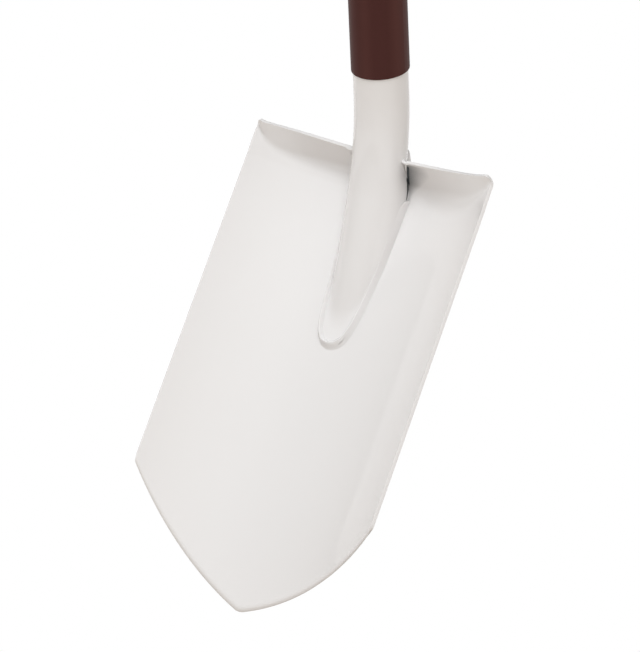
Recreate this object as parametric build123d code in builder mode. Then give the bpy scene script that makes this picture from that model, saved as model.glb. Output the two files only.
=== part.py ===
from build123d import *
import os
from math import acos, atan2, cos, degrees, hypot, radians, sin, sqrt, tan

# A pointed spade: pressed steel blade, cranked steel tube, plastic sleeve and D handle.
# The shaft's axis is Z. The blade hangs below it and its hollow face looks forward, towards -Y.
# The origin is on the shaft's axis, half way up the sleeve. Sizes are in millimetres and degrees.

# Blade sheet
BLADE_WIDTH = 190.0          # over the lower corners
SHEET = 2.3                  # thickness of the pressed sheet
TROUGH_RADIUS = 141.0        # front face of the hollow blade, across its width
SIDE_LENGTH = 218.7          # lower corners to the start of the tread's fold
SIDE_TAPER = 1.3             # how much each side leans in at the tread
POINT_LENGTH = 72.7          # lower corners down to the tip
POINT_RADIUS = 194.0         # curve of each side of the point
POINT_ROUND = 10.0           # the tip itself
SIDE_ROUND = 3.0             # where each side turns into the point
EDGE_FLAT = 0.2              # flat on the sharp back edge of each side

# Tread, the top of the sheet folded forward for the foot
FOLD_RADIUS = 14.0           # inside of the fold
TREAD_LEAN = 30.0            # how far the tread leans back from square
TREAD_DEPTH = 25.2           # how far the middle of its edge stands in front of the trough
TREAD_HEIGHT = 27.8          # fold to the tread's corners, along the blade
CORNER_DEPTH = 5.5           # how far its corners stand in front of the sides
CORNER_BEND = 8              # how sharply the sides turn forward into the corners
CORNER_ROUND = 3.5           # outer corners of the tread
EDGE_LEAN = 42.0             # how far the tread's edge is cut off square to the blade
EDGE_BOW = 11.8              # how far the middle of the edge is bowed in from its corners
FOLD_STEPS = 5               # sections through the fold
WALL_STEPS = 6               # sections through the tread above the fold

# Shaft
LIFT = 41.2                  # between the shaft and the blade
LEG_ANGLE = 20.0             # between the tube's lower leg and the blade
LEG_LENGTH = 34.0            # straight leg above the point where its axis meets the blade
LEG_DEPTH = 37.7             # that point, down from the tread's fold
BEND_RADIUS = 218.0          # centre line of the crank
BARE_NECK = 15.0             # straight tube between the crank and the sleeve
TUBE_DIAMETER = 37.0
TUBE_WALL = 1.4
COLLAR_GAP = 1.2             # between the tube and the sheet drawn up behind it

# Tongue, the flattened lower end of the tube, and the weld bead round it
TONGUE_LENGTH = 105.2        # its tip, down from the tread's fold
TIP_ROUND = 14.0
TONGUE_HALF_WIDTH = 21.5
WAIST_DEPTH = 30.7           # where it is widest, down from the tread's fold
HEEL_ROUND = 17.5
HEEL_DEPTH = 6.7             # centre of its upper end, down from the tread's fold
BEAD_WIDTH = 4.6
BEAD_HEIGHT = 3.2
BEAD_ROUND = 2.4             # outer top edge of the bead
TACK_LENGTH = 4.0            # tack weld at each inner end of the tread

# Sleeve
SLEEVE_LENGTH = 660.0
SLEEVE_WALL = 0.95
SLEEVE_SLANT = 2.2           # how far its lower end is off square
SLEEVE_ROUND = 0.5
SLEEVE_FIT = 0.05            # play on the tube, all round

# Handle
SOCKET_WALL = 5.0            # plastic round the tube
SOCKET_LENGTH = 74.0
SOCKET_LAP = 12.0            # how far the sleeve runs up into the socket
SOCKET_FIT = 0.1             # play round the tube and the sleeve, all round
MOUTH_ROUND = 2.0
SHOULDER_ROUND = 12.0        # top of the socket, under the arms
CROWN = 20.0                 # solid plastic above the end of the tube
ARM_SPREAD = 58.0            # shaft's axis to the middle of each arm's end
ARM_RADIUS = 58.0            # both curves of each arm
ARM_STRAIGHT = 22.0          # straight top of each arm, up to the bar
ARM_WIDTH = 21.0
ARM_THICKNESS = 29.0
ARM_ROOT = 14.0              # how deep the arms start inside the socket
BAR_DIAMETER = 25.0
BOSS_DIAMETER = 34.0         # where the arms carry the bar
BOSS_LENGTH = 22.0
BOSS_ROUND = 6.0
GRIP_WALL = 4.0              # soft skin on the bar
GRIP_ROUND = 2.0
GRIP_FIT = 0.05              # play of the skin on the bar, all round
RIVET_DIAMETER = 6.0
RIVET_HEIGHT = 30.0          # up from the socket's mouth
RIVET_HEAD_DIAMETER = 12.0
RIVET_HEAD_HEIGHT = 3.0
RIVET_FIT = 0.05             # play in its holes, all round
HEAD_FIT = 0.3               # play round its heads in their flat seats

# Reach of the cutting shapes, past whatever they cut
REACH = 60.0

# Places along the shaft, up the Z axis
sleeve_bottom = -SLEEVE_LENGTH / 2
sleeve_top = SLEEVE_LENGTH / 2
bend_top = sleeve_bottom - BARE_NECK
socket_bottom = sleeve_top - SOCKET_LAP
socket_top = socket_bottom + SOCKET_LENGTH
tube_top = socket_top - CROWN
rivet_level = socket_bottom + RIVET_HEIGHT

# Radii round the shaft's axis
tube_radius = TUBE_DIAMETER / 2
bore_radius = tube_radius - TUBE_WALL
sleeve_inner = tube_radius + SLEEVE_FIT
sleeve_outer = sleeve_inner + SLEEVE_WALL
collar_inner = tube_radius + COLLAR_GAP
collar_outer = collar_inner + SHEET
socket_radius = tube_radius + SOCKET_FIT + SOCKET_WALL

# The crank and the leg, in the plane of symmetry
bend_angle = radians(LIFT - LEG_ANGLE)
bend_centre = Vector(0, -BEND_RADIUS, bend_top)
leg_down = Vector(0, -sin(bend_angle), -cos(bend_angle))


def on_bend(angle):
    """The point of the crank's centre line this far round from its top."""
    return bend_centre + Vector(0, cos(angle), -sin(angle)) * BEND_RADIUS


leg_top = on_bend(bend_angle)
foot = leg_top + leg_down * LEG_LENGTH
leg_end = foot + leg_down * (tube_radius / tan(radians(LEG_ANGLE)) + REACH)

# Blade frame: X across, Y up the blade, Z forward out of the middle of its hollow face
lift = radians(LIFT)
blade_up = Vector(0, sin(lift), cos(lift))
blade_forward = Vector(0, -cos(lift), sin(lift))
leg_foot = SIDE_LENGTH - LEG_DEPTH
blade_origin = foot - blade_up * leg_foot
blade_plane = Plane(origin=blade_origin, x_dir=(1, 0, 0), z_dir=blade_forward)


def across(level):
    """The plane square to the blade at this level: X across, Y forward, Z down to the tip."""
    return Plane(origin=blade_origin + blade_up * level, x_dir=(1, 0, 0), z_dir=-blade_up)


def on_blade(x, level, depth):
    """A point given across, up and in front of the blade."""
    return blade_plane.from_local_coords(Vector(x, level, depth))


def trough_depth(x):
    """How far the trough's front face has come forward this far from the middle."""
    return TROUGH_RADIUS - sqrt(TROUGH_RADIUS**2 - x**2)


# Levels and half widths of the sheet
tread_top = SIDE_LENGTH + TREAD_HEIGHT
loft_top = tread_top + SHEET
front_half = BLADE_WIDTH / 2 / (1 + SHEET / TROUGH_RADIUS)
fold_angle = radians(90 - TREAD_LEAN)
fold_top = SIDE_LENGTH + FOLD_RADIUS * sin(fold_angle)
fold_depth = FOLD_RADIUS * (1 - cos(fold_angle))


def half_width(level):
    """Half the width of the sheet's front face at this level."""
    return front_half - SIDE_TAPER * level / tread_top


def sheet_section(level, half, middle, slope):
    """A section of the sheet across the blade: its middle this far forward, rising at this slope."""
    climb = max(level - SIDE_LENGTH, 0) / TREAD_HEIGHT
    side = trough_depth(half) + CORNER_DEPTH * climb**CORNER_BEND
    turn = 2 * atan2(side - middle, half)
    back_half = half + SHEET * sin(turn)
    back_side = side - SHEET * cos(turn)
    back_middle = middle - SHEET * hypot(1, slope)
    with BuildSketch(across(level)) as section:
        with BuildLine():
            ThreePointArc((-half, side), (0, middle), (half, side))
            Line((half, side), (back_half, back_side))
            ThreePointArc((back_half, back_side), (0, back_middle), (-back_half, back_side))
            Line((-back_half, back_side), (-half, side))
        make_face()
    return section.sketch


def rod_along(path, radius):
    """A round rod along the tube's centre line."""
    with BuildPart() as rod:
        with BuildSketch(Plane(origin=path @ 0, z_dir=path % 0)):
            Circle(radius)
        sweep(path=path)
    return rod.part


def trough_rod(radius, bottom, top):
    """A rod up the blade round the trough's own axis."""
    with BuildPart() as rod:
        with BuildSketch(across(top)):
            with Locations((0, TROUGH_RADIUS)):
                Circle(radius)
        extrude(amount=top - bottom)
    return rod.part


# Centre line of the tube, from past the blade's face to inside the handle
with BuildLine() as tube_line:
    Line(leg_end, leg_top)
    ThreePointArc(leg_top, on_bend(bend_angle / 2), on_bend(0))
    Line(on_bend(0), (0, 0, tube_top))

tube_rod = rod_along(tube_line.line, tube_radius)
bore_rod = rod_along(tube_line.line, bore_radius)
collar_rod = rod_along(tube_line.line, collar_outer)
notch_rod = rod_along(tube_line.line, collar_inner)

# All that lies behind the trough's front face, round the foot of the tube
with BuildPart() as behind_face:
    with BuildSketch(across(tread_top)):
        with Locations((0, -REACH)):
            Rectangle(2 * REACH, 4 * REACH)
        with Locations((0, TROUGH_RADIUS)):
            Circle(TROUGH_RADIUS, mode=Mode.SUBTRACT)
    extrude(amount=tread_top)

# Where the tube's axis is as far forward as the tread, the drawn collar has its rim
leg_rise = LEG_LENGTH * sin(radians(LEG_ANGLE))
rim_angle = acos(cos(radians(LEG_ANGLE)) - (TREAD_DEPTH - leg_rise) / BEND_RADIUS)
rim_turn = lift - rim_angle
rim_plane = Plane(origin=on_bend(rim_turn), x_dir=(1, 0, 0), z_dir=(0, sin(rim_turn), cos(rim_turn)))

# Where the collar's back leaves the plane of the trough
seat_angle = acos((leg_rise + BEND_RADIUS * cos(radians(LEG_ANGLE))) / (BEND_RADIUS + collar_inner))
seat_rise = BEND_RADIUS * (sin(seat_angle) - sin(radians(LEG_ANGLE))) + collar_inner * sin(seat_angle)
seat_level = leg_foot + LEG_LENGTH * cos(radians(LEG_ANGLE)) + seat_rise

# Middle of the tread's edge, and the plane of the tread there, half way through the sheet
edge_level = fold_top + (TREAD_DEPTH - fold_depth + SHEET / cos(fold_angle)) / tan(fold_angle)
tread_normal = blade_up * sin(fold_angle) - blade_forward * cos(fold_angle)
tread_plane = Plane(
    origin=on_blade(0, edge_level, TREAD_DEPTH) - tread_normal * (SHEET / 2),
    x_dir=(1, 0, 0),
    z_dir=tread_normal,
)

# Sheet drawn up into a half collar behind the tube, above the tread
with BuildPart() as collar:
    add(collar_rod)
    add(notch_rod, mode=Mode.SUBTRACT)
    split(bisect_by=rim_plane, keep=Keep.BOTTOM)
    split(bisect_by=tread_plane, keep=Keep.TOP)
    add(trough_rod(TROUGH_RADIUS + SHEET, SIDE_LENGTH, tread_top + REACH), mode=Mode.INTERSECT)

# Sheet left flat behind the tube, between the trough and the collar
with BuildPart() as collar_seat:
    add(trough_rod(TROUGH_RADIUS + SHEET, SIDE_LENGTH - FOLD_RADIUS, seat_level))
    add(trough_rod(TROUGH_RADIUS, SIDE_LENGTH - FOLD_RADIUS, seat_level), mode=Mode.SUBTRACT)
    add(collar_rod, mode=Mode.INTERSECT)

# Opening in the tread for the tube
with BuildPart() as notch:
    add(notch_rod)
    add(behind_face.part, mode=Mode.SUBTRACT)

# Blade: a trough whose top is folded forward into the tread
edge_radius = (half_width(tread_top) ** 2 + EDGE_BOW**2) / (2 * EDGE_BOW)
edge_lean = radians(EDGE_LEAN)
corner_x = half_width(tread_top) - CORNER_ROUND
corner_y = edge_radius - sqrt((edge_radius + CORNER_ROUND) ** 2 - corner_x**2)
corner_turn = atan2(corner_x, edge_radius - corner_y)
corner_reach = 2 * CORNER_ROUND
turned_x = corner_x - corner_reach * sin(corner_turn)
turned_y = corner_y + corner_reach * cos(corner_turn)
edge_plane = Plane(
    origin=on_blade(0, edge_level, TREAD_DEPTH),
    x_dir=(1, 0, 0),
    z_dir=blade_forward * sin(edge_lean) - blade_up * cos(edge_lean),
)
with BuildPart() as blade:
    extrude(sheet_section(SIDE_LENGTH, front_half + SHEET, 0, 0), amount=SIDE_LENGTH + POINT_LENGTH + SHEET)
    # Sides cut square to the sheet
    for hand in (-1, 1):
        low = on_blade(hand * front_half, 0, trough_depth(front_half))
        high = on_blade(hand * half_width(SIDE_LENGTH), SIDE_LENGTH, trough_depth(half_width(SIDE_LENGTH)))
        axis_point = on_blade(0, 0, TROUGH_RADIUS)
        outward = (high - low).cross(low - axis_point) * -hand
        split(bisect_by=Plane(origin=low, x_dir=high - low, z_dir=outward), keep=Keep.BOTTOM)
    # Fold and tread
    for step in range(FOLD_STEPS + 1):
        angle = fold_angle * step / FOLD_STEPS
        level = SIDE_LENGTH + FOLD_RADIUS * sin(angle)
        add(sheet_section(level, half_width(level), FOLD_RADIUS * (1 - cos(angle)), tan(angle)))
    loft()
    for step in range(WALL_STEPS + 1):
        level = fold_top + (loft_top - fold_top) * step / WALL_STEPS
        middle = fold_depth + (level - fold_top) * tan(fold_angle)
        add(sheet_section(level, half_width(level), middle, tan(fold_angle)))
    loft()
    # Edge of the tread, bowed in at the middle, with round corners
    with BuildSketch(edge_plane):
        with Locations((0, edge_radius)):
            Circle(edge_radius)
        for hand in (-1, 1):
            with BuildLine():
                Polyline(
                    (hand * corner_x, corner_y),
                    (hand * (corner_x + corner_reach), corner_y),
                    (hand * (corner_x + corner_reach), corner_y + corner_reach),
                    (hand * turned_x, turned_y),
                    close=True,
                )
            make_face()
            with Locations((hand * corner_x, corner_y)):
                Circle(CORNER_ROUND, mode=Mode.SUBTRACT)
    extrude(amount=REACH, both=True, mode=Mode.SUBTRACT)
    # Point, seen from the front
    outer_half = BLADE_WIDTH / 2 - EDGE_FLAT
    with BuildSketch(blade_plane) as outline:
        with BuildLine():
            Line((-outer_half, 0), (SIDE_TAPER - outer_half, tread_top))
            Line((SIDE_TAPER - outer_half, tread_top), (outer_half - SIDE_TAPER, tread_top))
            Line((outer_half - SIDE_TAPER, tread_top), (outer_half, 0))
            RadiusArc((outer_half, 0), (0, -POINT_LENGTH), POINT_RADIUS)
            RadiusArc((0, -POINT_LENGTH), (-outer_half, 0), POINT_RADIUS)
        make_face()
        fillet(outline.vertices().sort_by(Axis.Y)[1:3], SIDE_ROUND)
        fillet(outline.vertices().sort_by(Axis.Y)[0], POINT_ROUND)
    extrude(amount=TROUGH_RADIUS, both=True, mode=Mode.INTERSECT)
    add(notch.part, mode=Mode.SUBTRACT)
    add(collar.part)
    add(collar_seat.part)


def tongue_outline(inset):
    """Plan of the tongue, drawn in all round by this much."""
    with BuildSketch(blade_plane) as plan:
        with Locations((0, SIDE_LENGTH - TONGUE_LENGTH + TIP_ROUND)):
            Circle(TIP_ROUND - inset)
        with Locations((0, SIDE_LENGTH - WAIST_DEPTH)):
            Circle(TONGUE_HALF_WIDTH - inset)
        with Locations((0, SIDE_LENGTH - HEEL_DEPTH)):
            Circle(HEEL_ROUND - inset)
        make_hull()
    return plan.sketch


def layer_on_blade(plan, height):
    """A layer of this height lying on the trough's front face."""
    with BuildPart() as layer:
        extrude(plan, amount=REACH, both=True)
        add(trough_rod(TROUGH_RADIUS, 0, tread_top), mode=Mode.INTERSECT)
        add(trough_rod(TROUGH_RADIUS - height, 0, tread_top), mode=Mode.SUBTRACT)
    return layer.part


lip = layer_on_blade(tongue_outline(BEAD_WIDTH), 2 * TUBE_WALL)

# Rivet hole through the socket and the tube
with BuildPart() as rivet_hole:
    with BuildSketch(Plane.XZ):
        with Locations((0, rivet_level)):
            Circle(RIVET_DIAMETER / 2 + RIVET_FIT)
    extrude(amount=socket_radius + REACH, both=True)

# Shaft tube, cranked at the neck, its lower end pressed flat into a tongue
with BuildPart() as shaft_tube:
    add(tube_rod)
    add(lip)
    add(bore_rod, mode=Mode.SUBTRACT)
    add(behind_face.part, mode=Mode.SUBTRACT)
    add(rivet_hole.part, mode=Mode.SUBTRACT)

# Weld bead round the tongue
bead_layer = layer_on_blade(tongue_outline(0), BEAD_HEIGHT)
with BuildPart() as tongue_weld:
    add(bead_layer)
    broad_faces = tongue_weld.faces().sort_by(SortBy.AREA)[-2:]
    top_face = broad_faces.sort_by(Axis(blade_origin, blade_forward))[-1]
    fillet(top_face.edges(), BEAD_ROUND)
    add(layer_on_blade(tongue_outline(BEAD_WIDTH), 2 * BEAD_HEIGHT), mode=Mode.SUBTRACT)
    add(tube_rod, mode=Mode.SUBTRACT)
    add(blade.part, mode=Mode.SUBTRACT)


def tack(hand):
    """A tack weld filling the gap between the tube and one inner end of the tread."""
    with BuildPart() as blob:
        with BuildSketch(tread_plane):
            with Locations((hand * collar_inner, TACK_LENGTH / 2)):
                Rectangle(2 * TACK_LENGTH, TACK_LENGTH)
        extrude(amount=SHEET / 2, both=True)
        add(notch_rod, mode=Mode.INTERSECT)
        add(tube_rod, mode=Mode.SUBTRACT)
    return blob.part


with BuildPart() as tread_weld_left:
    add(tack(-1))

with BuildPart() as tread_weld_right:
    add(tack(1))

# Sleeve shrunk on the tube, its lower end a little off square
with BuildPart() as shaft_sleeve:
    with BuildSketch(Plane.XY.offset(sleeve_bottom - REACH)):
        Circle(sleeve_outer)
        Circle(sleeve_inner, mode=Mode.SUBTRACT)
    extrude(amount=SLEEVE_LENGTH + REACH)
    slant = radians(SLEEVE_SLANT)
    split(bisect_by=Plane(origin=(0, 0, sleeve_bottom), z_dir=(-sin(slant), 0, cos(slant))), keep=Keep.TOP)
    lower_end = shaft_sleeve.faces().sort_by(Axis.Z)[0]
    fillet(lower_end.edges().sort_by(SortBy.LENGTH)[-1], SLEEVE_ROUND)

# Handle body: a socket, two arms and the bar between them
arm_angle = acos(1 - ARM_SPREAD / (2 * ARM_RADIUS))
arm_base = socket_top - ARM_ROOT
bar_level = arm_base + 2 * ARM_RADIUS * sin(arm_angle) + ARM_STRAIGHT
bar_half = ARM_SPREAD - BOSS_LENGTH / 2
head_radius = RIVET_HEAD_DIAMETER / 2
head_seat = sqrt(socket_radius**2 - head_radius**2)
with BuildPart() as handle_body:
    with BuildSketch(Plane.XY.offset(socket_bottom)):
        Circle(socket_radius)
    extrude(amount=SOCKET_LENGTH)
    fillet(handle_body.faces().sort_by(Axis.Z)[-1].edges(), SHOULDER_ROUND)
    fillet(handle_body.faces().sort_by(Axis.Z)[0].edges(), MOUTH_ROUND)
    for hand in (-1, 1):
        with BuildLine(Plane.XZ) as arm_line:
            lower = JernArc((0, arm_base), (0, 1), ARM_RADIUS, -hand * degrees(arm_angle))
            upper = JernArc(lower @ 1, lower % 1, ARM_RADIUS, hand * degrees(arm_angle))
            Line(upper @ 1, (hand * ARM_SPREAD, bar_level))
        with BuildSketch(Plane.XY.offset(arm_base)):
            Ellipse(ARM_WIDTH / 2, ARM_THICKNESS / 2)
        sweep(path=arm_line.line)
    with BuildSketch(Plane.YZ.offset(-ARM_SPREAD)):
        with Locations((0, bar_level)):
            Circle(BAR_DIAMETER / 2)
    extrude(amount=2 * ARM_SPREAD)
    for hand in (-1, 1):
        with BuildSketch(Plane.YZ.offset(hand * bar_half)):
            with Locations((0, bar_level)):
                Circle(BOSS_DIAMETER / 2)
        extrude(amount=hand * BOSS_LENGTH)
    fillet(handle_body.edges().group_by(Axis.X)[0], BOSS_ROUND)
    fillet(handle_body.edges().group_by(Axis.X)[-1], BOSS_ROUND)
    with BuildSketch(Plane.XY.offset(socket_bottom)):
        Circle(tube_radius + SOCKET_FIT)
    extrude(amount=tube_top - socket_bottom, mode=Mode.SUBTRACT)
    with BuildSketch(Plane.XY.offset(socket_bottom)):
        Circle(sleeve_outer + SOCKET_FIT)
    extrude(amount=SOCKET_LAP, mode=Mode.SUBTRACT)
    add(rivet_hole.part, mode=Mode.SUBTRACT)
    for hand in (-1, 1):
        with BuildSketch(Plane.XZ.offset(hand * head_seat)):
            with Locations((0, rivet_level)):
                Circle(head_radius + HEAD_FIT)
        extrude(amount=hand * SOCKET_WALL, mode=Mode.SUBTRACT)

# Soft skin on the bar
with BuildPart() as handle_grip:
    with BuildSketch(Plane.YZ.offset(-bar_half)):
        with Locations((0, bar_level)):
            Circle(BAR_DIAMETER / 2 + GRIP_FIT + GRIP_WALL)
            Circle(BAR_DIAMETER / 2 + GRIP_FIT, mode=Mode.SUBTRACT)
    extrude(amount=2 * bar_half)
    for end in (0, -1):
        rim = handle_grip.edges().group_by(Axis.X)[end].sort_by(SortBy.LENGTH)[-1]
        fillet(rim, GRIP_ROUND)

# Rivet through the socket and the tube, with a domed head at each end
head_top = head_seat + RIVET_HEAD_HEIGHT
with BuildPart() as handle_rivet:
    with BuildSketch(Plane(origin=(0, 0, rivet_level), x_dir=(0, 1, 0), z_dir=(1, 0, 0))):
        with BuildLine():
            TangentArc((-head_top, 0), (-head_seat, head_radius), tangent=(0, 1))
            Polyline(
                (-head_seat, head_radius),
                (-head_seat, RIVET_DIAMETER / 2),
                (head_seat, RIVET_DIAMETER / 2),
                (head_seat, head_radius),
            )
            TangentArc((head_top, 0), (head_seat, head_radius), tangent=(0, 1))
            Line((-head_top, 0), (head_top, 0))
        make_face()
    revolve(axis=Axis((0, 0, rivet_level), (0, 1, 0)))

os.makedirs("parts", exist_ok=True)
pieces = {
    "blade": blade,
    "shaft_tube": shaft_tube,
    "tongue_weld": tongue_weld,
    "tread_weld_left": tread_weld_left,
    "tread_weld_right": tread_weld_right,
    "shaft_sleeve": shaft_sleeve,
    "handle_body": handle_body,
    "handle_grip": handle_grip,
    "handle_rivet": handle_rivet,
}
for name, piece in pieces.items():
    piece.part.label = name
    export_step(piece.part, f"parts/{name}.step")
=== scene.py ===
from math import acos, asin, cos, pi, radians, sin, sqrt, tan

import bpy
from mathutils import Matrix, Vector


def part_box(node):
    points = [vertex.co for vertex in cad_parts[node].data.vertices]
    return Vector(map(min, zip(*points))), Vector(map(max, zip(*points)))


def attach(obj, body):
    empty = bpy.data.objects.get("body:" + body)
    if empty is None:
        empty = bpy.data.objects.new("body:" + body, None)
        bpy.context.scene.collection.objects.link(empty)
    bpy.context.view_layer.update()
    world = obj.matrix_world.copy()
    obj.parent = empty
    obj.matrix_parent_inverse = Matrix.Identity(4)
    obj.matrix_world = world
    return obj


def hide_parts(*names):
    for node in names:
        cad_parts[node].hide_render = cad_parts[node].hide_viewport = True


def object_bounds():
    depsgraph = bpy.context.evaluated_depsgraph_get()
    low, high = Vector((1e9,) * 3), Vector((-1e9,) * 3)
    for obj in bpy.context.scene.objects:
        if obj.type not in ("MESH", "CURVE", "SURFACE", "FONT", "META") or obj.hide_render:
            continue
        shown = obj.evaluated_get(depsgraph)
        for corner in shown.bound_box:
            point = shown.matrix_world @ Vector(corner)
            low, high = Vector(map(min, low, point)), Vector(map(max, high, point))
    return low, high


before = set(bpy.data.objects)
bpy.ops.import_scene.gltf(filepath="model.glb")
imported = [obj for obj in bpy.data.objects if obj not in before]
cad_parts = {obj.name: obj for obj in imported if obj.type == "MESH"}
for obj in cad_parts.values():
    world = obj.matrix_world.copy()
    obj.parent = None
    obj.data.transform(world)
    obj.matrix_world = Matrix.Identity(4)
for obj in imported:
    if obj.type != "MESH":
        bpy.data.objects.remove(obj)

bl_info = {
    "name": "Pointed Spade",
    "version": (1, 0, 0),
    "blender": (4, 5, 0),
    "location": "View3D > Sidebar > Spade",
    "description": "Dresses the packed spade in paint, plastic and rubber and sets its studio and camera",
    "category": "Object",
}

# Where the blade's columns lie: a share of their count, and of the way from the middle to a side
COLUMN_STOPS = ((0.0, 0.0), (0.15, 0.13), (0.5, 0.3), (0.84, 0.94), (1.0, 1.0))

# The tread's fold: how abruptly it runs up to the corners, and how much less so on the right
CORNER_POWER, CORNER_SKEW = 10.0, 4.0
# What share of its radius is lost at the sides, and where on the right it starts to soften and over what share
SIDE_LOSS = 0.6
SOFT_START, SOFT_RUN = 0.25, 0.4
# How much of the corner's round is cut off the tread's edge, and in how many halvings that edge is found
CORNER_CUT = 0.8
HALVINGS = 40

# Beside the collar: how steeply the sheet comes forward, how steeply the rim falls, and its rounding
COLLAR_SLOPE, RIM_SLOPE, RIM_ROUND = 3.0, 2.0, 0.002
# Rounding between the trough and the pressed sheet: at the fold, how much it grows, and over what rise
TROUGH_ROUND, TROUGH_GROWTH, TROUGH_RISE = 0.0005, 0.0015, 0.006
# Rise over which the tongue swings back to the middle
SKEW_RUN = 0.065

# A tack weld's curl, across, up and forward of the tread's edge, and its radius along the way
TACK_CURL = ((0.026, -0.0015, 0.0014), (0.0165, -0.0035, 0.0023), (0.0176, 0.005, -0.0036))
TACK_RADII = ((0.0, 0.0004), (0.3, 0.0012), (0.55, 0.0012), (0.8, 0.0008), (1.0, 0.0004))

# Painted shade in the pocket beside the tube, in the blade's axes: the middle of the shaded patch, and the dark slit
# along the tube
POCKET_SHADE_RUN = ((0.0178, 0.2235, 0.003), (0.0202, 0.2405, 0.0215))
SLIT = (
    (0.0176, 0.2235, 0.0024),
    (0.0174, 0.2289, 0.0047),
    (0.0179, 0.2334, 0.0089),
    (0.0191, 0.2353, 0.0123),
    (0.0228, 0.2404, 0.0239),
)

# Each lamp's place, size and colour; its power is the studio's property of that name
LAMPS = {
    "top_lamp": ((0.4, -1.4, 2.5), 3.0, (0.955, 1.0, 1.03)),
    "right_lamp": ((2.8, -0.3, 0.8), 2.4, (1.0, 0.97, 0.93)),
    "front_lamp": ((1.7, -3.0, 0.9), 2.0, (1.0, 0.93, 0.87)),
    "left_lamp": ((-2.8, -0.8, 0.8), 2.4, (1.0, 0.95, 0.9)),
}
LAMP_AIM = (0.0, -0.1, -0.5)
FLOOR_SIZE = 12.0
FLOOR_COLOUR = (0.76, 0.65, 0.54, 1.0)
SKY_COLOUR = (1.0, 0.955, 0.915, 1.0)
WHITE = (1.0, 1.0, 1.0, 1.0)
SENSOR_HEIGHT = 36.0
CLIP_END = 50.0

# Grid corners closer than this are merged, and faces at more than this angle meet in an edge
SEAM = 0.00002
SHARP = radians(50)

ACROSS = (1.0, 0.0, 0.0)
CAD_BOX = [list(corner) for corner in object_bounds()]
BODY = "root"
# Attribute that marks the band of painted shade along the point's edge
EDGE_SHADE = "worn_edge"


class Tone:
    """An output of a material's node, so that shades are written as sums and products."""

    def __init__(self, tree, socket=None):
        self.tree = tree
        self.socket = socket

    def node(self, kind, settings=None, inputs=None, output=0):
        """Add a node of this kind, set it up, fill its sockets and give one of its outputs."""
        made = self.tree.nodes.new(kind)
        for name, value in (settings or {}).items():
            if name == "stops":
                ramp = made.color_ramp.elements
                while len(ramp) < len(value):
                    ramp.new(1.0)
                for element, (place, colour) in zip(ramp, value):
                    element.position = place
                    element.color = colour
            else:
                setattr(made, name, value)
        for name, value in (inputs or {}).items():
            if isinstance(value, Tone):
                self.tree.links.new(value.socket, made.inputs[name])
            else:
                made.inputs[name].default_value = value
        return Tone(self.tree, made.outputs[output]) if made.outputs else None

    def math(self, operation, *terms):
        return self.node("ShaderNodeMath", {"operation": operation}, dict(enumerate(terms)))

    def vector(self, operation, *terms, output="Vector"):
        return self.node("ShaderNodeVectorMath", {"operation": operation}, dict(enumerate(terms)), output)

    def ramp(self, low, high):
        """0 below low, 1 above high and a gentle rise between."""
        return self.node(
            "ShaderNodeMapRange",
            {"interpolation_type": "SMOOTHSTEP"},
            {"Value": self, "From Min": low, "From Max": high, "To Min": 0.0, "To Max": 1.0},
        )

    def __add__(self, other):
        return self.math("ADD", self, other)

    def __sub__(self, other):
        return self.math("SUBTRACT", self, other)

    def __rsub__(self, other):
        return self.math("SUBTRACT", other, self)

    def __mul__(self, other):
        return self.math("MULTIPLY", self, other)

    def __truediv__(self, other):
        return self.math("DIVIDE", self, other)

    __radd__ = __add__
    __rmul__ = __mul__


def new_finish(name):
    """A new material with an empty node tree, and a Tone to build in it."""
    finish = bpy.data.materials.new(name)
    finish.use_nodes = True
    finish.node_tree.nodes.clear()
    return finish, Tone(finish.node_tree)


def close_finish(tone, inputs):
    """End a material's nodes in one surface shader."""
    surface = tone.node("ShaderNodeBsdfPrincipled", {}, inputs)
    tone.node("ShaderNodeOutputMaterial", {}, {"Surface": surface})


def between(tone, low, high, mask):
    """A colour that goes from low to high with the mask."""
    socket_low, socket_high, socket_out = 6, 7, 2
    low, high = (end if isinstance(end, Tone) else (*end, 1.0) for end in (low, high))
    inputs = {"Factor": mask, socket_low: low, socket_high: high}
    return tone.node("ShaderNodeMix", {"data_type": "RGBA"}, inputs, output=socket_out)


def noise(tone, place, scale, detail):
    """A cloudy pattern over the surface."""
    return tone.node("ShaderNodeTexNoise", {}, {"Vector": place, "Scale": scale, "Detail": detail})


def bump(tone, height, strength, distance):
    """A surface that seems to rise and fall with this height."""
    return tone.node("ShaderNodeBump", {}, {"Height": height, "Strength": strength, "Distance": distance})


def reach_along(tone, place, direction):
    """How far a place lies in this direction."""
    return tone.vector("DOT_PRODUCT", place, tuple(direction), output="Value")


def line_distance(tone, at, start, end):
    """How far from start to end the nearest spot lies, as a share, and how far off it is."""
    run = end - start
    away = tone.vector("SUBTRACT", at, tuple(start))
    share = reach_along(tone, away, run / run.length_squared)
    share = tone.math("MINIMUM", tone.math("MAXIMUM", share, 0.0), 1.0)
    nearest = tone.node("ShaderNodeVectorMath", {"operation": "SCALE"}, {0: tuple(run), "Scale": share})
    return share, tone.vector("DISTANCE", away, nearest, output="Value")


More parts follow.
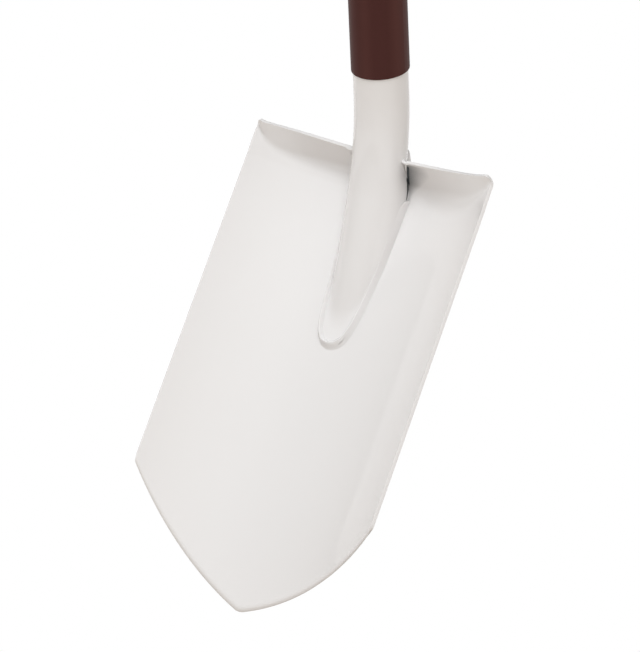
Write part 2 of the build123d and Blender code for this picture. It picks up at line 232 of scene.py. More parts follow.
def painted_pocket_shade(tone, place, form, reach):
    """Painted shade in the pocket beside the tube, where the tread, tube and blade meet in shadow: a dark patch with
    this reach, weaker on the left, and on the right a dark slit along the gap.
    """
    strength, foot_share, left_share = 0.9, 0.12, 0.2
    middle_blur = 0.001
    tube_side, turn_level, turn_slope = (0.0173, 0.0185), SLIT[3][1], 0.71
    slit_width, swelling, narrowing = 0.001, 0.0007, 0.0005
    swell_levels, narrow_levels, end_levels = (0.224, 0.229), (0.231, 0.236), (0.2412, 0.2422)
    slit_edge = (0.6, 1.2)

    sideways = tone.vector("MULTIPLY", tone.vector("ABSOLUTE", place), ACROSS)
    mirrored = tone.vector("ADD", sideways, tone.vector("MULTIPLY", place, (0.0, 1.0, 1.0)))
    right = reach_along(tone, place, ACROSS).ramp(-middle_blur, middle_blur)
    above = reach_along(tone, place, form.up) - form.origin.dot(form.up)

    # Painted shade: a soft dark patch over the pocket between the tread, the tube and the blade
    share, distance = line_distance(tone, mirrored, *(form.point(*spot) for spot in POCKET_SHADE_RUN))
    spread = reach * (foot_share + (1.0 - foot_share) * share) * (left_share + (1.0 - left_share) * right)
    turned = turn_slope * tone.math("MAXIMUM", above - turn_level, 0.0)
    outside = (reach_along(tone, mirrored, ACROSS) - turned).ramp(*tube_side)
    pocket_shade = tone.math("MAXIMUM", strength - strength * distance / spread, 0.0) * outside

    # Painted shadow: a dark slit along the gap between the tube and the sheet
    spots = [form.point(*spot) for spot in SLIT]
    width = slit_width + swelling * above.ramp(*swell_levels) - narrowing * above.ramp(*narrow_levels)
    for start, end in zip(spots, spots[1:]):
        gap = line_distance(tone, mirrored, start, end)[1] / width
        pocket_shade = tone.math("MAXIMUM", pocket_shade, right - right * gap.ramp(*slit_edge))
    return pocket_shade * (1.0 - above.ramp(*end_levels))


def paint_finish(name, paint, form, reach):
    """Gloss white paint with a fine orange peel, with painted shade in the pocket beside the tube and a band of
    painted shade along the point's edge.
    """
    evenness, specks, dulling = 0.8, 0.4, 0.3
    finish, tone = new_finish(name)
    place = tone.node("ShaderNodeTexCoord", output="Object")
    cloud = noise(tone, place, scale=9.0, detail=2.0)
    peel = noise(tone, place, scale=260.0, detail=1.0)
    speck = noise(tone, place, scale=1400.0, detail=2.0)
    # Painted shade in the pocket beside the tube, also duller and without gloss there
    pocket_shade = tone.math("MINIMUM", painted_pocket_shade(tone, place, form, reach) * (evenness + specks * speck), 1.0)
    # Painted shade: a darker band of colour along the point's rounded edge
    edge_shade_mask = tone.node("ShaderNodeAttribute", {"attribute_name": EDGE_SHADE}, output="Fac")
    colour = between(tone, paint.shade_colour, paint.colour, cloud)
    colour = between(tone, colour, paint.pocket_shade_colour, pocket_shade)
    colour = between(tone, colour, paint.edge_shade_colour, edge_shade_mask)
    close_finish(tone, {
        "Base Color": colour,
        "Roughness": paint.roughness + pocket_shade * dulling,
        "Normal": bump(tone, peel, strength=0.05, distance=0.0003),
        "Coat Weight": 1.0 - pocket_shade,
        "Coat Roughness": paint.coat_roughness,
    })
    return finish


def sleeve_finish(plastic):
    """Satin plastic shrunk on the tube, with soft streaks along it: lighter and darker bands of its colour that are
    partly painted sheen.
    """
    stretch = (1.0, 1.0, 0.03)
    darkest, lightest = 0.35, 0.65
    streak_dulling, hair_dulling = 0.08, 0.06
    finish, tone = new_finish("brown_sleeve")
    place = tone.node("ShaderNodeTexCoord", output="Object")
    drawn = tone.vector("MULTIPLY", place, stretch)
    # Lengthwise streaks of colour, partly random tone and partly painted sheen bands
    streak_and_sheen = noise(tone, drawn, scale=60.0, detail=1.0)
    hair = noise(tone, drawn, scale=1500.0, detail=2.0)
    stops = ((darkest, (*plastic.shade_colour, 1.0)), (lightest, (*plastic.colour, 1.0)))
    close_finish(tone, {
        "Base Color": tone.node("ShaderNodeValToRGB", {"stops": stops}, {"Fac": streak_and_sheen}, output="Color"),
        "Roughness": plastic.roughness + streak_and_sheen * streak_dulling + hair * hair_dulling,
        "Normal": bump(tone, hair, strength=0.08, distance=0.0002),
        "Specular IOR Level": plastic.shine,
    })
    return finish


def handle_finish(plastic):
    """Moulded plastic with an etched grain, rubbed smoother in patches where hands hold it."""
    patches, smoothing = (0.45, 0.65), 0.5
    duller, grain_dulling, rubbed_shine = 0.1, 0.08, 0.12
    finish, tone = new_finish("brown_handle")
    place = tone.node("ShaderNodeTexCoord", output="Object")
    cloud = noise(tone, place, scale=34.0, detail=3.0)
    grain = noise(tone, place, scale=1100.0, detail=2.0)
    rubbed = noise(tone, place, scale=12.0, detail=1.0).ramp(*patches)
    close_finish(tone, {
        "Base Color": between(tone, plastic.shade_colour, plastic.colour, cloud),
        "Roughness": plastic.roughness + duller + grain * grain_dulling - rubbed * rubbed_shine,
        "Normal": bump(tone, grain * (1.0 - smoothing * rubbed), strength=0.35, distance=0.0003),
        "Specular IOR Level": plastic.shine,
    })
    return finish


def grip_finish(grip):
    """Soft rubber with a fine pebbled skin and a little dust."""
    dusty, dust_dulling, shine = (0.4, 0.75), 0.1, 0.25
    finish, tone = new_finish("soft_grip")
    place = tone.node("ShaderNodeTexCoord", output="Object")
    pebble = tone.node("ShaderNodeTexVoronoi", {}, {"Vector": place, "Scale": 1300.0})
    dust = noise(tone, place, scale=45.0, detail=4.0)
    close_finish(tone, {
        "Base Color": between(tone, grip.colour, grip.dust_colour, dust.ramp(*dusty)),
        "Roughness": grip.roughness + dust * dust_dulling,
        "Normal": bump(tone, pebble, strength=0.4, distance=0.0003),
        "Specular IOR Level": shine,
    })
    return finish


def rivet_finish(rivet):
    """Steel brushed one way, a little dull in places."""
    stretch = (0.04, 1.0, 1.0)
    dulled, brush_dulling, patch_dulling = (0.45, 0.75), 0.1, 0.15
    finish, tone = new_finish("rivet_steel")
    place = tone.node("ShaderNodeTexCoord", output="Object")
    brushed = noise(tone, tone.vector("MULTIPLY", place, stretch), scale=3000.0, detail=2.0)
    dull = noise(tone, place, scale=220.0, detail=3.0)
    close_finish(tone, {
        "Base Color": between(tone, rivet.colour, rivet.dull_colour, dull.ramp(*dulled)),
        "Metallic": 1.0,
        "Roughness": rivet.roughness + brushed * brush_dulling + dull * patch_dulling,
        "Normal": bump(tone, brushed, strength=0.15, distance=0.0001),
    })
    return finish


def dress(node, finish):
    """Give a CAD node this material in every slot."""
    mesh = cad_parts[node].data
    if not mesh.materials:
        mesh.materials.append(finish)
    for place in range(len(mesh.materials)):
        mesh.materials[place] = finish


def coat(piece, finish):
    """Give a new piece its material."""
    piece.data.materials.append(finish)


def soft_max(one, other, reach):
    """The larger of two depths, with the corner between them rounded over this reach."""
    overlap = max(reach - abs(one - other), 0.0)
    return max(one, other) + overlap * overlap / (4.0 * reach)


def soft_min(one, other, reach):
    """The smaller of two depths, with the corner between them rounded over this reach."""
    return -soft_max(-one, -other, reach)


def ease(share):
    """A share from 0 to 1 that starts and stops gently."""
    share = min(max(share, 0.0), 1.0)
    return share * share * (3.0 - 2.0 * share)


def along_stops(share, stops):
    """A value read between stops, each a share of the way and the value there."""
    for (low, start), (high, end) in zip(stops, stops[1:]):
        if share <= high:
            return start + (end - start) * (share - low) / (high - low)
    return stops[-1][1]


class Form:
    """The spade's shape in the blade's own axes: across, up the blade and forward of its trough."""

    def __init__(self, sheet, tube):
        self.sheet = sheet
        self.tube = tube
        self.radius = tube.diameter / 2
        self.up = Vector((0.0, sin(tube.lift), cos(tube.lift)))
        self.forward = Vector((0.0, -cos(tube.lift), sin(tube.lift)))
        bend = tube.lift - tube.leg_angle
        leg_top = Vector((0.0, (cos(bend) - 1.0) * tube.bend_radius, tube.bend_top - sin(bend) * tube.bend_radius))
        foot = leg_top - Vector((0.0, sin(bend), cos(bend))) * tube.leg_length
        self.foot_level = sheet.side_length - tube.leg_depth
        self.origin = foot - self.up * self.foot_level
        self.leg_end = self.foot_level + tube.leg_length * cos(tube.leg_angle)
        self.bend_level = self.leg_end - tube.bend_radius * sin(tube.leg_angle)
        self.bend_depth = tube.leg_length * sin(tube.leg_angle) + tube.bend_radius * cos(tube.leg_angle)
        self.collar = self.radius + tube.collar_gap
        self.front_half = sheet.width / 2 / (1.0 + sheet.thickness / sheet.trough_radius)
        self.tread_top = sheet.side_length + sheet.tread_height
        self.fold_angle = pi / 2 - sheet.tread_lean
        self.fold_top = sheet.side_length + sheet.fold_radius * sin(self.fold_angle)
        fold_depth = sheet.fold_radius * (1.0 - cos(self.fold_angle))
        wall = sheet.tread_depth - fold_depth + sheet.thickness / cos(self.fold_angle)
        self.edge_level = self.fold_top + wall / tan(self.fold_angle)
        half = self.half_width(self.tread_top)
        self.edge_radius = (half**2 + sheet.edge_bow**2) / (2.0 * sheet.edge_bow)
        self.tongue_tip = sheet.side_length - tube.tongue_depth
        rim_lean = acos((self.bend_depth - sheet.tread_depth) / tube.bend_radius)
        self.rim_level = self.bend_level + tube.bend_radius * sin(rim_lean) - tube.collar_drop

    def point(self, across, level, depth):
        """Where a spot in the blade's axes lies in the scene."""
        return self.origin + Vector((across, 0.0, 0.0)) + self.up * level + self.forward * depth

    def half_width(self, level):
        """Half the width of the sheet's front face at this level."""
        return self.front_half - self.sheet.side_taper * level / self.tread_top

    def trough(self, across):
        """Depth of the hollow at this distance from the middle."""
        return self.sheet.trough_radius - sqrt(self.sheet.trough_radius**2 - across**2)

    def axis(self, level):
        """How far forward the tube's axis is at this level, and how it leans from the blade."""
        if level < self.leg_end:
            return (level - self.foot_level) * tan(self.tube.leg_angle), self.tube.leg_angle
        lean = asin((level - self.bend_level) / self.tube.bend_radius)
        return self.bend_depth - self.tube.bend_radius * cos(lean), lean

    def tread(self, across, level):
        """Depth of the sheet's front face where the tube doesn't press it back."""
        sheet = self.sheet
        trough = self.trough(across)
        share = min(max(across / self.half_width(level), -1.0), 1.0)
        corner = abs(share) ** (CORNER_POWER - CORNER_SKEW * share)
        angle = self.fold_angle - sheet.fold_open * share**2 - sheet.fold_turn * share + sheet.fold_close * corner
        softer = sheet.fold_soft * ease((share - SOFT_START) / SOFT_RUN) * (1.0 - corner)
        radius = sheet.fold_radius * (1.0 - SIDE_LOSS * share**2) + softer
        climb = level - sheet.side_length + sheet.fold_tilt * share * (1.0 - corner) - sheet.fold_sweep * corner
        climb += softer * tan(angle / 2)
        if climb <= 0.0:
            return trough
        arc = radius * sin(angle)
        if climb < arc:
            return trough + radius - sqrt(radius**2 - climb**2)
        return trough + radius * (1.0 - cos(angle)) + (climb - arc) * tan(angle)

    def front(self, across, level):
        """Depth of the sheet's front face, with the point's edge rounded back and the collar drawn round the tube."""
        tread = self.tread(across, level)
        if level <= self.sheet.side_length:
            inside = (level - self.bottom_level(across)) / self.sheet.lip_reach
            return tread - self.sheet.lip_depth * min(max(1.0 - inside, 0.0), 1.0) ** 3
        depth, lean = self.axis(level)
        beyond = max(abs(across) - self.collar, 0.0)
        inside = sqrt(max(self.collar**2 - across**2, 0.0))
        collar = depth - inside / cos(lean) + COLLAR_SLOPE * beyond
        pressed = soft_min(tread, collar, self.tube.collar_round)
        trough = self.trough(across)
        grown = TROUGH_GROWTH * min((level - self.sheet.side_length) / TROUGH_RISE, 1.0)
        return max(soft_max(pressed, trough, TROUGH_ROUND + grown), trough)

    def top_level(self, share):
        """Level of the sheet's upper edge, this share of the way from its middle to a side."""
        sheet = self.sheet
        low, high = self.fold_top, self.tread_top + sheet.tread_height
        for _ in range(HALVINGS):
            level = (low + high) / 2
            across = share * self.half_width(level)
            bow = self.edge_radius - sqrt(self.edge_radius**2 - across**2)
            reach = (level - self.edge_level) * sin(sheet.edge_lean)
            reach += (self.tread(across, level) - sheet.tread_depth) * cos(sheet.edge_lean)
            if reach < bow:
                low = level
            else:
                high = level
        across = share * self.half_width(low)
        turned = max(sheet.corner_round - self.half_width(low) + abs(across), 0.0)
        tread = low - CORNER_CUT * (sheet.corner_round - sqrt(sheet.corner_round**2 - turned**2))
        inside = sqrt(max(self.collar**2 - across**2, 0.0))
        inside *= 1.0 - ease((abs(across) - self.tube.collar_flare) / (self.collar - self.tube.collar_flare))
        rim = self.rim_level + self.tube.collar_rise * inside - RIM_SLOPE * max(abs(across) - self.collar, 0.0)
        return soft_max(tread, rim, RIM_ROUND)

    def bottom_level(self, across):
        """Level of the point's edge at this distance from the middle."""
        sheet = self.sheet
        outer = abs(across) * (1.0 + sheet.thickness / sheet.trough_radius)
        half = sheet.width / 2
        chord = sqrt(half**2 + sheet.point_length**2)
        pull = sqrt(sheet.point_radius**2 - chord**2 / 4.0) / chord
        centre_x = half / 2 - sheet.point_length * pull
        centre_y = -sheet.point_length / 2 + half * pull
        small = sheet.point_radius - sheet.point_round
        tip = centre_y - sqrt(small**2 - centre_x**2)
        if outer < sheet.point_round * -centre_x / small:
            return tip - sqrt(sheet.point_round**2 - outer**2)
        return centre_y - sqrt(sheet.point_radius**2 - (outer - centre_x) ** 2)

    def tongue_half(self, level):
        """Half the width of the tongue with its weld, at this level."""
        above = max(level - self.tongue_tip, 0.0)
        return sqrt(2.0 * self.tube.tongue_round * above / (1.0 + above / self.tube.tongue_flare))

    def tongue_skew(self, level):
        """How far the tongue's middle lies to one side."""
        return self.tube.tongue_skew * max(1.0 - (level - self.tongue_tip) / SKEW_RUN, 0.0)


def spade_form(scene):
    """The spade's shape from the sizes in the scene."""
    return Form(scene.spade_sheet, scene.spade_tube)


def formed_grid(name, columns, rows, place):
    """A grid of this many columns and rows, pressed so that each corner lands where place puts it."""
    bpy.ops.object.select_all(action="DESELECT")
    bpy.ops.mesh.primitive_grid_add(x_subdivisions=columns, y_subdivisions=rows, size=2.0)
    piece = bpy.context.object
    piece.name = name
    for corner in piece.data.vertices:
        corner.co = place(corner.co.x, (corner.co.y + 1.0) / 2)
    return piece


def take_place(piece, *nodes):
    """The piece rides on the spade's one body and stands for these CAD nodes."""
    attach(piece, BODY)
    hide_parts(*nodes)


def apply_modifier(piece, kind, settings):
    """Add a modifier to the piece, set it up and apply it."""
    bpy.context.view_layer.objects.active = piece
    modifier = piece.modifiers.new(kind, kind)
    for name, value in settings.items():
        setattr(modifier, name, value)
    bpy.ops.object.modifier_apply(modifier=modifier.name)


def round_rims(piece, width, angle):
    """Bevel every edge sharper than this angle, and shade the rest smoothly."""
    bpy.ops.object.mode_set(mode="EDIT")
    bpy.ops.mesh.select_mode(type="EDGE")
    bpy.ops.mesh.select_all(action="DESELECT")
    bpy.ops.mesh.edges_select_sharp(sharpness=angle)
    bpy.ops.mesh.bevel(offset=width, segments=3, profile=0.5, clamp_overlap=True)
    bpy.ops.object.mode_set(mode="OBJECT")
    bpy.ops.object.shade_smooth_by_angle(angle=angle)


def close_seams(piece):
    """Merge the grid's meeting edges, fill its ends and turn its faces outwards."""
    bpy.ops.object.mode_set(mode="EDIT")
    bpy.ops.mesh.select_all(action="SELECT")
    bpy.ops.mesh.remove_doubles(threshold=SEAM)
    bpy.ops.mesh.select_all(action="SELECT")
    bpy.ops.mesh.fill_holes(sides=0)
    bpy.ops.mesh.normals_make_consistent(inside=False)
    bpy.ops.object.mode_set(mode="OBJECT")
    bpy.ops.object.shade_smooth_by_angle(angle=SHARP)


def mark_edge_shade(piece, form):
    """Mark a band of painted shade along the point's rounded edge, more so towards the right."""
    middle_shade, side_shade = 0.7, 0.3
    marks = piece.data.attributes.new(EDGE_SHADE, "FLOAT", "POINT")
    for corner, mark in zip(piece.data.vertices, marks.data):
        spot = corner.co - form.origin
        inside = max(spot.dot(form.up) - form.bottom_level(spot.x), 0.0) / form.sheet.edge_shade_reach
        strength = middle_shade + side_shade * spot.x / form.front_half
        mark.value = strength * max(1.0 - inside, 0.0) ** 2


def make_blade(form):
    """The pressed sheet: a hollow, pointed blade with a folded tread and a collar behind the tube."""
    sheet = form.sheet
    below_fold = 0.2

    def place(across, along):
        side = -1.0 if across < 0.0 else 1.0
        share = side * along_stops(abs(across), COLUMN_STOPS)
        top = form.top_level(share)
        bottom = form.bottom_level(share * form.front_half)
        # Shares of the rows, and the levels that they reach
        level = along_stops(along, (
            (0.0, bottom), (0.08, bottom + sheet.lip_reach), (0.45, below_fold), (0.57, sheet.side_length),
            (0.74, form.fold_top), (1.0, top)))
        x = share * form.half_width(level)
        return form.point(x, level, form.front(x, level))

    piece = formed_grid("blade_sheet", columns=140, rows=112, place=place)
    apply_modifier(piece, "SOLIDIFY", {
        "thickness": sheet.thickness, "offset": -1.0, "use_even_offset": True, "use_quality_normals": True})
    round_rims(piece, sheet.rim_round, SHARP)
    mark_edge_shade(piece, form)
    take_place(piece, "blade")
    return piece


def make_tube(form):
    """The cranked tube, its lower end pressed flat into a tongue."""
    tube = form.tube
    tip_inset = 0.0022
    pressed_rows, crowding, bent_rows = 0.72, 0.35, 0.96
    flat_run, upright_run = 0.06, 0.012
    dip_rise, dip_run = 0.05, 0.03
    side_turn, crease = 0.25, 0.0002
    tip = form.tongue_tip + tube.bead_crest + tip_inset
    neck = form.leg_end + tube.press_rise
    bend_start = form.axis(neck)[1]

    def pressed_place(angle, run):
        level = tip + (neck - tip) * (crowding * run * run + (1.0 - crowding) * run)
        depth, lean = form.axis(level)
        flat = ease((neck - level) / flat_run)
        upright = ease((neck - level) / upright_run) if cos(angle) < 0.0 else 0.0
        rise = max(cos(angle), 0.0) ** (1.0 + tube.doming * flat) + min(cos(angle), 0.0)
        x = form.radius * abs(sin(angle)) ** (1.0 - tube.upright * upright)
        x = -x if angle < 0.0 else x
        dip = tube.dip * ease((form.tongue_tip + dip_rise - level) / dip_run)
        raw = depth + form.radius / cos(lean) * rise - dip
        side = ease((cos(angle) + side_turn) / (2.0 * side_turn))
        half = form.tongue_half(level) - tube.bead_crest + tube.bead_lean
        floor = form.front(x, level) + (tube.floor_height + tube.floor_sink) * side - tube.floor_sink
        pressed = ease((floor - raw) / tube.floor_round + 0.5)
        x += (min(max(x, -half), half) - x) * pressed
        x += form.tongue_skew(level)
        return form.point(x, level, soft_max(raw, floor, crease + tube.floor_round * side))

    def bent_place(angle, run):
        lean = bend_start + (tube.lift - bend_start) * run
        turn = lean * ease(run)
        level = form.bend_level + tube.bend_radius * sin(lean)
        depth = form.bend_depth - tube.bend_radius * cos(lean)
        reach = form.radius / cos(lean - turn) * cos(angle)
        return form.point(form.radius * sin(angle), level - reach * sin(turn), depth + reach * cos(turn))

    def place(around, along):
        angle = pi * around
        if along < pressed_rows:
            return pressed_place(angle, along / pressed_rows)
        run = (along - pressed_rows) / (1.0 - pressed_rows)
        if run < bent_rows:
            return bent_place(angle, run / bent_rows)
        height = tube.bend_top + (tube.top - tube.bend_top) * (run - bent_rows) / (1.0 - bent_rows)
        return Vector((form.radius * sin(angle), -form.radius * cos(angle), height))

    piece = formed_grid("neck_tube", columns=96, rows=168, place=place)
    close_seams(piece)
    take_place(piece, "shaft_tube")
    return piece


def make_bead(form):
    """The weld round the tongue: a sloping fillet from the blade up to the tube, dying away at both ends."""
    tube = form.tube
    nudge = 0.002
    tight_start, tight_run, tip_swell = 0.03, 0.06, 0.0014
    climb_start, climb_run = 0.035, 0.055
    end_run, end_height = 0.06, 0.1
    coarse, coarse_rate, fine, fine_rate, fine_shift = 0.02, 41.0, 0.015, 67.0, 1.3
    inner_tip, inner_share = 0.0012, 0.85
    sink, beyond = 0.0008, 0.0025
    foot_end, crest_at, inner_end, straight = 0.06, 0.5, 0.84, 0.35

    def foot(run):
        level = form.tongue_tip + (tube.bead_end - form.tongue_tip) * run * run
        half = form.tongue_half(level)
        return Vector((form.tongue_skew(level) + (half if run > 0.0 else -half), level))

    def place(around, along):
        run = 2.0 * along - 1.0
        at = foot(run)
        ahead = (foot(run + nudge) - foot(run - nudge)).normalized()
        inward = Vector((-ahead.y, ahead.x))
        above = at.y - form.tongue_tip
        tight = ease((above - tight_start) / tight_run)
        end = sqrt(1.0 - max(1.0 - (1.0 - abs(run)) / end_run, 0.0) ** 2)
        uneven = 1.0 + coarse * sin(coarse_rate * run) + fine * sin(fine_rate * run + fine_shift)
        crest = tube.bead_crest + tip_swell * ahead.x**2 + tube.bead_lean * ahead.y
        crest = crest * (1.0 - tight) + tube.bead_tight * tight
        rise = tube.bead_height + (tube.bead_climb - tube.bead_height) * ease((above - climb_start) / climb_run)
        crest *= uneven
        rise *= (end_height + (1.0 - end_height) * end) * uneven
        inner = inner_tip + (inner_share * rise - inner_tip) * tight
        share = (around + 1.0) / 2
        if share < foot_end:
            step, lift = 0.0, -sink * (1.0 - share / foot_end)
        elif share < crest_at:
            up = (share - foot_end) / (crest_at - foot_end)
            step, lift = crest * up, rise * (straight * up + (1.0 - straight) * ease(up))
        elif share < inner_end:
            down = (share - crest_at) / (inner_end - crest_at)
            step, lift = crest + beyond * down, rise + (inner - rise) * ease(down)
        else:
            home = (share - inner_end) / (1.0 - inner_end)
            step, lift = (crest + beyond) * (1.0 - home), inner * (1.0 - home) - sink * home
        at = at + inward * step
        return form.point(at.x, at.y, form.front(at.x, at.y) + lift)

    piece = formed_grid("weld_bead", columns=50, rows=240, place=place)
    close_seams(piece)
    take_place(piece, "tongue_weld")
    return piece


def make_tack(form, name, side):
    """The tack weld that joins an end of the tread's edge to the tube."""
    nudge = 0.001
    edge = Vector((0.0, form.edge_level, form.sheet.tread_depth))
    start, corner, tail = (edge + Vector(offset) for offset in TACK_CURL)

    def middle(run):
        return start * (1.0 - run) ** 2 + corner * 2.0 * run * (1.0 - run) + tail * run * run

    def place(around, along):
        ahead = (middle(along + nudge) - middle(along - nudge)).normalized()
        across = ahead.cross(Vector((0.0, 0.0, 1.0))).normalized()
        angle = side * pi * around
        outward = across * cos(angle) + across.cross(ahead) * sin(angle)
        at = middle(along) + outward * along_stops(along, TACK_RADII)
        return form.point(side * at.x, at.y, at.z)

    piece = formed_grid(name, columns=16, rows=40, place=place)
    close_seams(piece)
    take_place(piece, "tread_weld_right" if side > 0.0 else "tread_weld_left")
    return piece


def make_grip(grip):
    """The soft skin on the handle's bar: a tube with grooves round it and rounded ends."""
    low, high = (Vector(corner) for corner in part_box("handle_grip"))
    middle = (low + high) / 2
    length = high.x - low.x
    bpy.ops.object.select_all(action="DESELECT")
    bpy.ops.mesh.primitive_cylinder_add(
        vertices=72, radius=(high.z - low.z) / 2, depth=length, end_fill_type="NOTHING", location=middle,
        rotation=(0.0, pi / 2, 0.0))
    piece = bpy.context.object
    piece.name = "ribbed_grip"
    bpy.ops.object.transform_apply(location=True, rotation=True, scale=True)

    count = int((length - 2.0 * grip.plain_end) / grip.pitch)
    first = middle.x - (count - 1) * grip.pitch / 2
    grooves = [first + grip.pitch * turn for turn in range(count)]
    slope = grip.groove_width / 4
    bpy.ops.object.mode_set(mode="EDIT")
    for groove in grooves:
        for border in (groove - grip.groove_width / 2, groove + grip.groove_width / 2):
            bpy.ops.mesh.select_all(action="SELECT")
            bpy.ops.mesh.bisect(plane_co=(border, middle.y, middle.z), plane_no=ACROSS)
    bpy.ops.mesh.select_mode(type="FACE")
    bpy.ops.mesh.select_all(action="DESELECT")
    bpy.ops.object.mode_set(mode="OBJECT")
    for face in piece.data.polygons:
        face.select = min(abs(face.center.x - groove) for groove in grooves) < slope
    bpy.ops.object.mode_set(mode="EDIT")
    bpy.ops.mesh.inset(thickness=slope, depth=-grip.groove_depth)
    bpy.ops.object.mode_set(mode="OBJECT")
    apply_modifier(piece, "SOLIDIFY", {"thickness": grip.wall, "offset": -1.0})
    round_rims(piece, grip.rim_round, angle=radians(25))
    take_place(piece, "handle_grip")
    return piece


class SpadeSheet(bpy.types.PropertyGroup):
    """Sizes of the pressed blade."""

    width: bpy.props.FloatProperty(
        name="Width", description="Over the lower corners", unit="LENGTH", default=0.19)
    thickness: bpy.props.FloatProperty(
        name="Thickness", description="Of the sheet", unit="LENGTH", default=0.0023)
    trough_radius: bpy.props.FloatProperty(
        name="Trough radius", description="Front face of the hollow, across", unit="LENGTH", default=0.141)
    side_length: bpy.props.FloatProperty(
        name="Side length", description="Lower corners to the tread's fold", unit="LENGTH", default=0.2233)
    side_taper: bpy.props.FloatProperty(
        name="Side taper", description="How much each side leans in at the tread", unit="LENGTH", default=0.0013)
    point_length: bpy.props.FloatProperty(
        name="Point length", description="Lower corners down to the tip", unit="LENGTH", default=0.0727)
    point_radius: bpy.props.FloatProperty(
        name="Point radius", description="Curve of each side of the point", unit="LENGTH", default=0.194)
    point_round: bpy.props.FloatProperty(
        name="Tip radius", description="The tip itself", unit="LENGTH", default=0.01)
    lip_reach: bpy.props.FloatProperty(
        name="Lip reach", description="How far up the point's edge is rounded back", unit="LENGTH", default=0.0055)
    lip_depth: bpy.props.FloatProperty(
        name="Lip depth", description="How far it is rounded back", unit="LENGTH", default=0.0015)
    # How far up the painted shade along the point's edge reaches
    edge_shade_reach: bpy.props.FloatProperty(
        name="Edge shade reach", description="How far up the painted edge shade reaches", unit="LENGTH", default=0.003)
    fold_radius: bpy.props.FloatProperty(
        name="Fold radius", description="Inside of the tread's fold, in the middle", unit="LENGTH", default=0.012)
    fold_soft: bpy.props.FloatProperty(
        name="Fold softening", description="How much more that is towards the right", unit="LENGTH", default=0.013)
    fold_open: bpy.props.FloatProperty(
        name="Fold opening", description="How much flatter the fold is at the sides", subtype="ANGLE",
        default=radians(40.0))
    fold_close: bpy.props.FloatProperty(
        name="Fold closing", description="How much sharper it gets again at the corners", subtype="ANGLE",
        default=radians(28.0))
    fold_turn: bpy.props.FloatProperty(
        name="Fold turn", description="How much flatter it is on the right than on the left", subtype="ANGLE",
        default=radians(5.0))
    fold_tilt: bpy.props.FloatProperty(
        name="Fold tilt", description="How much lower it runs at the right side", unit="LENGTH", default=0.003)
    fold_sweep: bpy.props.FloatProperty(
        name="Fold sweep", description="How far the fold runs up at the corners", unit="LENGTH", default=0.0166)
    tread_lean: bpy.props.FloatProperty(
        name="Tread lean", description="How far the tread leans back from square", subtype="ANGLE",
        default=radians(22.0))
    tread_depth: bpy.props.FloatProperty(
        name="Tread depth", description="Middle of its edge in front of the trough", unit="LENGTH", default=0.0252)
    tread_height: bpy.props.FloatProperty(
        name="Tread height", description="Fold to the tread's corners, along the blade", unit="LENGTH",
        default=0.0232)
    corner_round: bpy.props.FloatProperty(
        name="Corner radius", description="Outer corners of the tread", unit="LENGTH", default=0.0048)
    edge_lean: bpy.props.FloatProperty(
        name="Edge lean", description="How the tread's edge is cut", subtype="ANGLE", default=radians(42.0))
    edge_bow: bpy.props.FloatProperty(
        name="Edge bow", description="How far the middle of the edge is bowed in", unit="LENGTH", default=0.0118)
    rim_round: bpy.props.FloatProperty(
        name="Rim radius", description="Edges of the sheet under the paint", unit="LENGTH", default=0.0007)


